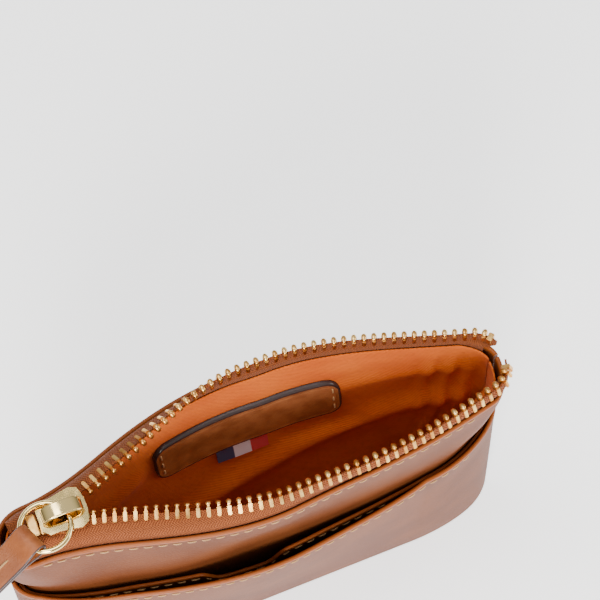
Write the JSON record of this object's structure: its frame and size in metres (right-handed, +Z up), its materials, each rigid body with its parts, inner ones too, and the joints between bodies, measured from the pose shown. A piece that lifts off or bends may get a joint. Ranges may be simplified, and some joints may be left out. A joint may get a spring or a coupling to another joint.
{
  "type": "zippered pouch",
  "caption": "Small leather pouch with a metal zip across the top, a twill lining, a front slip pocket, and a pull tab on a ring.",
  "frame": {"origin": "centre of the flat bottom, on the seam between front and back", "axes": "+X to the right seen from the front, +Y to the back, +Z up"},
  "size_m": [0.162, 0.0441, 0.0913],
  "materials": {
    "leather": "fine grained tan leather with painted edges",
    "label_leather": "smooth dark brown leather with a dark painted edge",
    "lining": "orange twill",
    "zip_tape": "brown herringbone zip tape",
    "zip_metal": "satin brass",
    "slider_metal": "polished pale gold",
    "thread": "cream waxed thread",
    "ribbon": "woven ribbon in three bands"
  },
  "bodies": {
    "pouch": {"back_panel": "leather", "front_panel": "leather", "pocket_panel": "leather", "card_slot_panel": "leather", "front_lining": "lining", "back_lining": "lining", "bottom_stop": "zip_metal", "label_patch": "label_leather", "label_stitching": "thread", "ribbon_tag": "ribbon", "front_zip_stitching": "thread", "back_zip_stitching": "thread", "pocket_stitching": "thread", "card_slot_stitching": "thread"},
    "front_chain": {"front_tape": "zip_tape", "front_teeth": "zip_metal", "front_top_stop": "zip_metal"},
    "back_chain": {"back_tape": "zip_tape", "back_teeth": "zip_metal", "back_top_stop": "zip_metal"},
    "slider": {"slider_body": "slider_metal", "slider_crown": "slider_metal"},
    "ring": {"pull_ring": "slider_metal"},
    "tab": {"pull_tab": "leather", "pull_tab_stitching": "thread"}
  },
  "joints": [
    {"name": "slider_travel", "type": "slide", "parent": "pouch", "child": "slider", "axis": [1, 0, 0], "range_m": [0, 0.105]},
    {"name": "front_chain_close", "type": "hinge", "parent": "pouch", "child": "front_chain", "pos_m": [0, 0, 0], "axis": [-1, 0, 0], "range_deg": [0, 9.74], "deforming": ["front_tape", "front_teeth", "front_top_stop"]},
    {"name": "back_chain_close", "type": "hinge", "parent": "pouch", "child": "back_chain", "pos_m": [0, 0, 0], "axis": [1, 0, 0], "range_deg": [0, 12.18], "deforming": ["back_tape", "back_teeth", "back_top_stop"]},
    {"name": "ring_swing", "type": "hinge", "parent": "slider", "child": "ring", "pos_m": [-0.0479, 0, 0.0889], "axis": [-0.3907, 0.9205, 0], "range_deg": [0, 140]},
    {"name": "tab_swing", "type": "hinge", "parent": "ring", "child": "tab", "pos_m": [-0.05848, -0.00449, 0.0889], "axis": [-0.3907, 0.9205, 0], "range_deg": [0, 60]}
  ],
  "couplings": [
    {"joint": "front_chain_close", "follows": "slider_travel", "rad_per_m": 1.6157},
    {"joint": "back_chain_close", "follows": "slider_travel", "rad_per_m": 2.0213}
  ]
}
